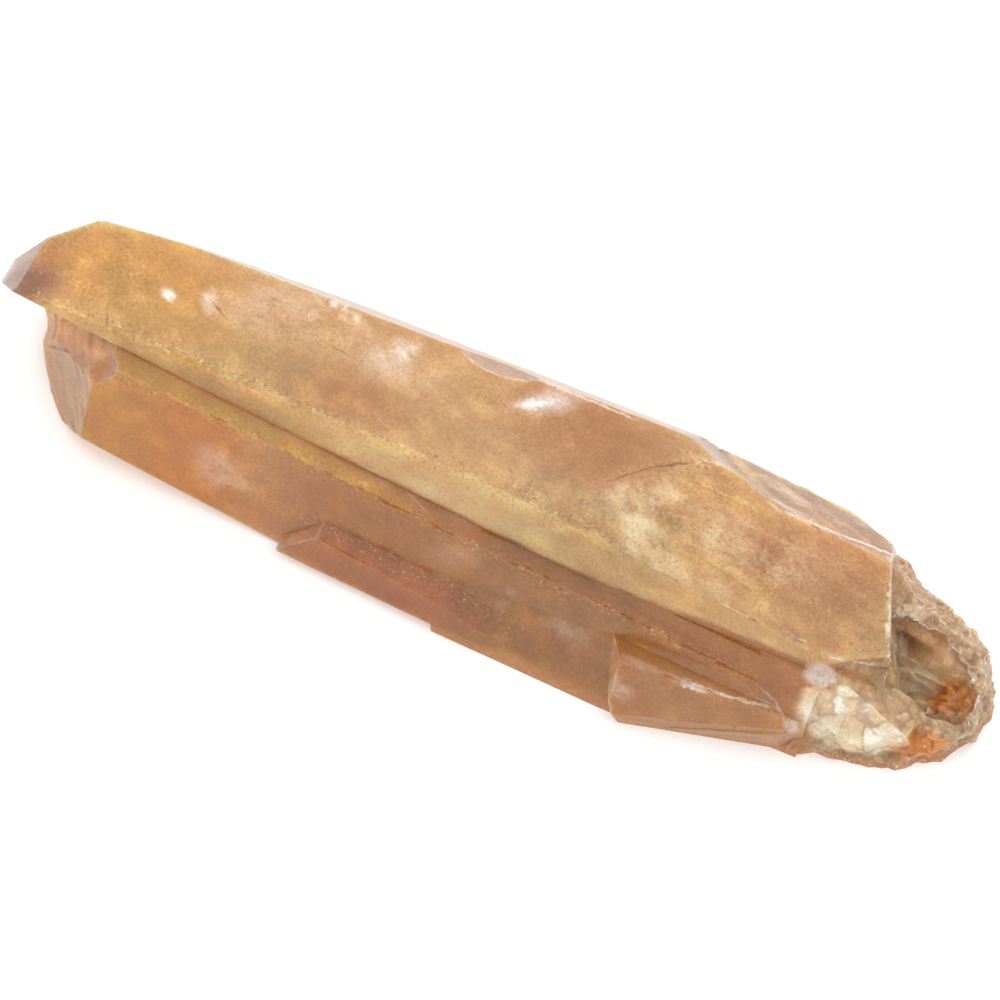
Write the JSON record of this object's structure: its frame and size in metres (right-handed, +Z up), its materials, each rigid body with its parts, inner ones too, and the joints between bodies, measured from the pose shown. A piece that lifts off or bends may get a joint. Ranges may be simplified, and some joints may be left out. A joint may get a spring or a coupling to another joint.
{
  "type": "citrine crystal point",
  "caption": "Long, flattened citrine point: parallel crystals grown together, with chisel-shaped tips at one end and a rough broken base at the other.",
  "frame": {"origin": "on the flat resting face, at the middle of the piece", "axes": "+X from the pointed tips to the broken base, +Y to the far side, +Z up from the resting face"},
  "size_m": [0.13, 0.0332, 0.016],
  "materials": {
    "citrine": "cloudy honey quartz, glossy faces and frosted breaks"
  },
  "bodies": {
    "root": {"citrine_point": "citrine"}
  },
  "joints": []
}
